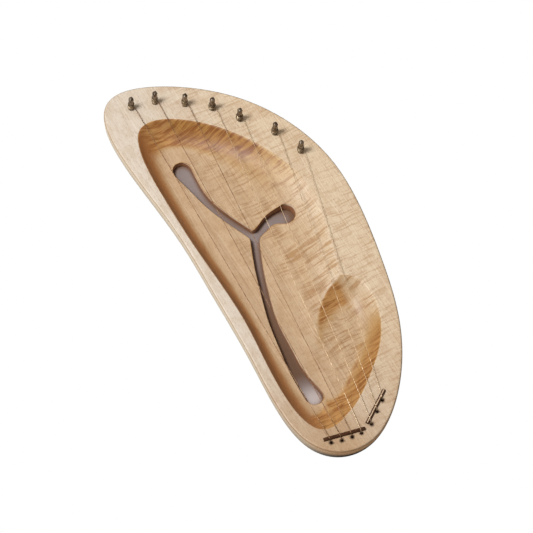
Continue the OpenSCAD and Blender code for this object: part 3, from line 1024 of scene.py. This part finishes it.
class Maple(Shader):
    """Oiled flamed maple: waves in its fibres streak it, and slopes that cut them are amber;
    painted shade and painted sheen are laid into its colour.
    """

    def __init__(self):
        super().__init__("maple")
        self.x, self.y, self.z = self.parts(self.place())
        self.facing_x, self.facing_y, self.facing_z = self.parts(self.normal())
        self.hollow = self.mark("hollow")
        self.sawn = self.mark("sawn")
        self.pin_end = self.ramp(self.y, 40, 90)
        # Painted shade: slopes that face +X, away from the key light.
        self.steep_painted_shade = self.ramp(self.facing_x, 0.06, 0.70)
        self.waves = self.wave_bands()
        patches = self.ramp(self.noise((40, 32, 40), 1), 0.36, 0.60, 0.35, 1.0)
        self.wave_strength = patches * self.ramp(self.x, -50, 12, 0.10, 1.0)
        self.fibres = self.noise((0.5, 22, 0.5), 3, 0.6)

    def mark(self, name):
        """A value that the mesh of the body carries at its points."""
        return self.node("Attribute", "Fac", attribute_name=name)

    def wave_bands(self):
        """Waves in the fibres: thin bands along X that wander and break off."""
        sway = self.node("CombineXYZ", 0, {1: self.noise((38, 24, 38)) * 9.0})
        swayed = self.node("VectorMath", 0, {0: self.place(), 1: sway}, operation="ADD")
        broad = self.noise((22, 2.5, 30), 1.5, where=swayed)
        thin = self.noise((13, 1.15, 20), 1.5, where=swayed)
        return broad * 0.6 + thin * 0.4

    def growth_rings(self):
        """Rings of uneven width round a pith below the straight side."""
        reach_x, reach_z = self.x - PITH_X, self.z - PITH_Z
        radius = self.math("SQRT", reach_x * reach_x + reach_z * reach_z)
        ring = self.node("CombineXYZ", 0, {0: radius + self.noise((26, 110, 26)) * 9.0})
        return self.noise((1.15, 1, 1), where=ring)

    def slope(self):
        """How amber a slope is: most where it runs across the fibres, which lie along Y, with
        painted shade where it turns away from the key light and painted sheen keeping slopes that
        face it pale.
        """
        wave = (self.waves - 0.5) * self.ramp(self.hollow, 0, 1, 0.5, 0.6)
        across = abs(self.facing_y) + wave * self.wave_strength
        gentle_painted_shade = self.ramp(self.facing_x, 0.03, 0.17, 0.0, 0.9)
        painted_slope_shade = self.mix(self.ramp(self.x, -40, -22), self.steep_painted_shade, gentle_painted_shade)
        slope = self.math("MAXIMUM", self.ramp(across, 0.03, 0.25), painted_slope_shade)
        return slope * (1.0 - self.painted_sheen()) * self.hollow

    def painted_sheen(self):
        """Painted sheen: slopes that face the light are kept as pale as the floor."""
        towards_bass = self.facing_y * 1.3 - self.facing_x
        painted_sheen = self.ramp(towards_bass, 0.0, 0.2) * self.ramp(self.facing_y, 0.02, -0.04)
        beside = (self.ramp(self.facing_x, -0.12, -0.34, 0.0, 0.72)
                  * self.ramp(self.facing_y, 0.38, 0.14))
        streaky = self.pin_end * self.ramp(self.waves, 0.44, 0.60, 0.6, 0.95)
        return self.math("MAXIMUM", painted_sheen, beside) * (1.0 - streaky)

    def amber(self):
        """Colour of a slope: streaked where it cuts the fibres, even where it runs along them,
        with painted shade where it turns away from the key light, darkest at the rim of the steep
        wall.
        """
        towards_bass = (self.ramp(self.facing_x, -0.12, -0.34)
                        * self.ramp(self.facing_y, 0.55, 0.25) * (1.0 - self.pin_end))
        end_grain = self.ramp(abs(self.facing_y), 0.10, 0.24) * (1.0 - towards_bass)
        streaked = self.mix(self.ramp(self.waves, 0.38, 0.62), AMBER_LIGHT, AMBER_DARK)
        amber = self.mix(end_grain, AMBER_FLAME, streaked)
        amber = self.mix(self.steep_painted_shade, amber, AMBER_PAINTED_SHADE)
        return self.mix(self.ramp(self.facing_x, 0.70, 0.98), amber, AMBER_PAINTED_RIM_SHADE)

    def wood(self):
        """Colour of the faces, floors and slopes, with their waves and grain."""
        treble = self.ramp(self.x, -80, 70)
        # Painted shade: deeper in a hollow, the colour turns to the darker floor colours.
        deep = self.ramp(self.z, TOP - 1.5, TOP - 12)
        colour = self.mix(deep, self.mix(treble, PALE_FACE, WARM_FACE),
                          self.mix(treble, FLOOR_BASS, FLOOR_TREBLE))
        mottle = self.ramp(self.noise((9, 14, 9), 3), 0.42, 0.62, 0.0, 0.28)
        colour = self.tinted(colour, mottle, MOTTLE_TINT)
        waves = (self.ramp(self.waves, 0.47, 0.61) * self.wave_strength
                 * self.ramp(self.hollow, 0, 1, 0.36, 0.62))
        colour = self.tinted(colour, waves, WAVE_TINT)
        slope = self.slope()
        colour = self.mix(slope, colour, self.amber())
        rings = self.growth_rings()
        dark_rings = self.ramp(rings, 0.52, 0.66) * self.ramp(deep, 0, 1, 0.14, 0.26)
        colour = self.tinted(colour, dark_rings, DARK_RING_TINT)
        light_rings = self.ramp(rings, 0.46, 0.34, 0.0, 0.12) * (1.0 - slope)
        colour = self.mix(light_rings, colour, LIGHT_RING_TINT, "SCREEN")
        colour = self.tinted(colour, self.ramp(self.fibres, 0.42, 0.72, 0.0, 0.28), FIBRE_TINT)
        flecks = self.ramp(self.noise((0.7, 2.6, 0.7)), 0.54, 0.72, 0.0, 0.34)
        return self.tinted(colour, flecks, FLECK_TINT)

    def with_painted_shade(self, colour):
        """Tints of slopes that face the light, of both ends and of the rounded front edge: painted
        shade on slopes facing the key light, more at the pin end, and on the rounded front edge; a
        darker tint towards the low end.
        """
        facing_bass = self.ramp(self.facing_x, -0.06, -0.40) * self.hollow
        colour = self.tinted(colour, facing_bass * 0.4, FACING_KEY_SHADE)
        colour = self.tinted(colour, facing_bass * self.pin_end, PIN_END_KEY_SHADE)
        outside = 1.0 - self.hollow
        low_end = (self.ramp(self.y, -60, -215) * outside
                   * self.ramp(self.x, -10, -50, 0.35, 1.0))
        colour = self.tinted(colour, low_end, LOW_END_TINT)
        # Painted shade on the rounded front edge.
        rolled_over = self.ramp(self.facing_z, 0.96, 0.70) * outside
        return self.tinted(colour, rolled_over, FRONT_EDGE_SHADE)

    def side(self):
        """Colour of the outer side, with painted shade darkening it towards the back and painted
        light on the bass side, which faces the key.
        """
        side = self.mix(self.ramp(self.z, 13.0, 3.5), SIDE_HIGH, SIDE_LOW)
        side = self.tinted(side, self.ramp(self.facing_y, 0.25, 0.75, 0.0, 0.75), SIDE_END_TINT)
        low_side = self.mix(self.ramp(self.z, 18.0, 11.5), LOW_SIDE_HIGH, LOW_SIDE_LOW)
        side = self.mix(self.ramp(self.facing_y, -0.25, -0.75), side, low_side)
        bass = self.ramp(self.facing_x, -0.35, -0.85) * self.ramp(self.y, -200, -60, 0.3, 1.0)
        return self.mix(bass, side, SIDE_BASS_LIT)

    def colour(self):
        """The wood with its side, its sawn and bored walls darkened with painted shade, and the
        painted shade along the far edge.
        """
        upright = self.ramp(self.facing_z, 0.45, 0.15) * self.ramp(self.facing_z, -0.8, -0.5)
        colour = self.mix(upright, self.with_painted_shade(self.wood()), self.side())
        colour = self.mix(self.sawn, colour, SAWN_WALL_AND_SHADE)
        colour = self.mix(self.mark("bored"), colour, BORED_WALL_SHADE)
        # Painted shade along the far edge of the front.
        away = self.node("VectorMath", "Value", {0: self.normal(), 1: FAR_SIDE},
                         operation="DOT_PRODUCT")
        inner = self.math("MAXIMUM", self.hollow, self.sawn)
        far_edge = self.ramp(away, 0.25, 0.75, 0.0, 0.8) * (1.0 - inner)
        return self.tinted(colour, far_edge, FAR_EDGE_SHADE)


def maple():
    s = Maple()
    return s.surface({
        "Base Color": s.colour(),
        "Roughness": s.ramp(s.fibres, 0.3, 0.8, 0.42, 0.56),
        "Specular IOR Level": 0.35,
        "Coat Weight": 0.10,
        "Coat Roughness": 0.35,
        "Normal": s.bump(s.waves, 0.22, 0.18, Normal=s.bump(s.fibres, 0.05, 0.25)),
    })


def rosewood(name, crown_highlight):
    """Dark rosewood with streaks along the grain, with a painted highlight along its crown."""
    s = Shader(name)
    streaks = s.noise((3.0, 0.5, 0.5), 3, distortion=0.6)
    pores = s.noise((1.6, 0.22, 0.22), 1)
    colour = s.mix(s.ramp(streaks, 0.35, 0.68), *ROSEWOOD)
    colour = s.mix(s.ramp(pores, 0.58, 0.7, 0.0, 0.6), colour, ROSEWOOD_PORES)
    # Painted highlight along the top of the crown, broken by the streaks.
    crown_glint = (s.ramp(s.parts(s.normal())[2], 0.94, 0.995, 0.0, crown_highlight)
            * s.ramp(streaks, 0.70, 0.45, 0.6, 1.0))
    return s.surface({
        "Base Color": s.mix(crown_glint, colour, ROSEWOOD_CROWN_HIGHLIGHT),
        "Roughness": s.ramp(streaks, 0.3, 0.7, 0.38, 0.52),
        "Specular IOR Level": 0.2,
        "Normal": s.bump(pores, 0.05, 0.4),
    })


def metal(name, clean_and_tarnished, roughness, grain):
    """Plain metal with drawn scratches and a thin uneven tarnish."""
    s = Shader(name)
    tarnish = s.noise([grain * 5] * 3, 4)
    scratches = s.noise((grain, grain, grain * 0.25), 3)
    return s.surface({
        "Base Color": s.mix(s.ramp(tarnish, 0.38, 0.66), *clean_and_tarnished),
        "Metallic": 1.0,
        "Roughness": s.ramp(scratches, 0.3, 0.7, roughness, roughness + 0.14),
        "Normal": s.bump(scratches, 0.02, 0.3),
    })


def floor_paint():
    """Paper that the camera sees pure white, and that throws back only some of the light."""
    s = Shader("pale_floor")
    bounce = s.node("BsdfDiffuse", 0, {"Color": linear(FLOOR_BOUNCE)})
    white = s.node("Emission", 0, {"Color": (1, 1, 1, 1), "Strength": 1.0})
    seen = s.node("LightPath", "Is Camera Ray")
    return s.finished(s.node("MixShader", 0, {0: seen, 1: bounce, 2: white}))


def felt_of_painted_shade():
    """Felt that stands for the shade under the lyre: painted bounce makes it brown under the stem,
    painted shade darkens it under the narrows of the slot, and painted light brightens it under
    its low end.
    """
    s = Shader("felt_of_painted_shade")
    y = s.parts(s.place())[1]
    nap = s.noise((0.6, 0.6, 0.6), 3)
    colour = s.mix(s.ramp(y, 0, -60) * s.ramp(y, -140, -118), s.mix(nap, *FELT),
                   FELT_STEM_BOUNCE)
    colour = s.mix(s.ramp(y, -130, -150), colour, FELT_LOW_END_LIGHT)
    # Painted shade where the slot is narrow.
    narrows = s.ramp(s.node("AmbientOcclusion", "AO", {"Distance": 30 * MM}), 0.66, 0.40)
    colour = s.mix(narrows, colour, FELT_NARROWS_SHADE)
    return s.surface({"Base Color": colour, "Roughness": 0.9, "Normal": s.bump(nap, 0.1, 0.3)})


# --- Stage ------------------------------------------------

CAMERA_AZIMUTH = -34.6  # 0 looks along +Y
CAMERA_ELEVATION = 59.5
CAMERA_ROLL = 6.2
CAMERA_DISTANCE = 2629  # from the point it looks at, on the front face
CAMERA_LENS = 189.5
CAMERA_AIM = (-25.45, -15.5)

FLOOR_SIDE = 6000
FLOOR_Z = -0.3
FELT_INSET = 13
FELT_Z = -0.1

KEY_AZIMUTH = -108  # the soft key light comes from the straight side of the lyre
KEY_ELEVATION = 60
KEY_DISTANCE = 1500
KEY_SIZE = 480
KEY_POWER = 22.0
SKY_COLOUR = (1.0, 0.90, 0.80)
SKY_BRIGHT = 0.56  # sky above the bass side
SKY_DIM = 0.18  # sky above the treble side
SKY_ELEVATION = 20  # of the brightest part of the sky


def direction(azimuth, elevation):
    """Unit vector towards a viewer or a light."""
    a, e = math.radians(azimuth), math.radians(elevation)
    return Vector((math.sin(a) * math.cos(e), -math.cos(a) * math.cos(e), math.sin(e)))


def aim_axes(back, roll=0.0):
    """Rotation whose -Z looks against back, rolled about it."""
    right = Vector((0, 0, 1)).cross(back).normalized()
    up = back.cross(right)
    r = math.radians(roll)
    x = right * math.cos(r) + up * math.sin(r)
    y = up * math.cos(r) - right * math.sin(r)
    return Matrix((x, y, back)).transposed().to_4x4()


def add_camera():
    data = bpy.data.cameras.new("camera")
    data.lens = CAMERA_LENS
    data.sensor_width = 36
    data.clip_start, data.clip_end = 0.05, 50
    back = direction(CAMERA_AZIMUTH, CAMERA_ELEVATION)
    place = Matrix.Translation((Vector((*CAMERA_AIM, TOP)) + back * CAMERA_DISTANCE) * MM)
    camera = placed("camera", data, place @ aim_axes(back, CAMERA_ROLL))
    bpy.context.scene.camera = camera


def add_key_light():
    data = bpy.data.lights.new("key", "AREA")
    data.shape = "DISK"
    data.size = KEY_SIZE * MM
    data.energy = KEY_POWER
    back = direction(KEY_AZIMUTH, KEY_ELEVATION)
    placed("key", data, Matrix.Translation(back * KEY_DISTANCE * MM) @ aim_axes(back))


def add_sheet(name, corners, z, material):
    """A flat sheet of the stage, from its corners in millimetres."""
    mesh = bpy.data.meshes.new(name)
    mesh.from_pydata([(x * MM, y * MM, z * MM) for x, y in corners], [], [range(len(corners))])
    mesh.materials.append(material)
    placed(name, mesh)


def add_stage():
    """White paper, and a grey felt sheet of painted shade under the lyre that shows only through
    the sound slot.
    """
    half = FLOOR_SIDE / 2
    corners = [(-half, -half), (half, -half), (half, half), (-half, half)]
    add_sheet("floor", corners, FLOOR_Z, floor_paint())
    add_sheet("felt", moved_out(outline, -FELT_INSET), FELT_Z, felt_of_painted_shade())


def set_world():
    """Soft sky, brighter over the bass side, that the camera sees as plain white."""
    s = Shader("sky", "worlds")
    towards_key = s.node("VectorMath", "Value", {
        0: s.node("TexCoord", "Generated"), 1: direction(KEY_AZIMUTH, SKY_ELEVATION),
    }, operation="DOT_PRODUCT")
    strength = s.node("MapRange", "Result", {
        "Value": towards_key, "From Min": -0.8, "From Max": 0.9, "To Min": SKY_DIM,
        "To Max": SKY_BRIGHT,
    })
    lit = s.node("Background", 0, {"Color": (*SKY_COLOUR, 1), "Strength": strength})
    white = s.node("Background", 0, {"Color": (1, 1, 1, 1)})
    seen = s.node("LightPath", "Is Camera Ray")
    sky = s.node("MixShader", 0, {0: seen, 1: lit, 2: white})
    bpy.context.scene.world = s.finished(sky, "OutputWorld")
    bpy.context.scene.view_settings.view_transform = "Standard"


# --- The lyre ---------------------------------------------


def build_lyre():
    rng = np.random.default_rng(SEED)
    carved_body(maple())
    bridge_strip("bridge_bass", rosewood("rosewood", 0.0))
    bridge_strip("bridge_treble", rosewood("rosewood_painted_highlight", 0.9))
    nickel = metal("worn_nickel", NICKEL, 0.28, 0.8)
    bright = metal("bright_wire", BRIGHT_WIRE, 0.42, 0.6)
    bronze_and_shadow = metal("bronze_wire_and_shadow", BRONZE_WIRE_AND_SHADOW, 0.48, 0.6)
    wound = metal("wound_wire", WOUND_WIRE, 0.40, 0.6)
    brass = metal("brass", BRASS, 0.26, 0.7)
    for k in STRINGS:
        tuning_pin(k, nickel)
        coil(k, wound, rng)
        string(k, bronze_and_shadow if k <= THICK_STRINGS else bright)
        ball_end(k, brass)


build_lyre()
add_stage()
set_world()
add_key_light()
add_camera()
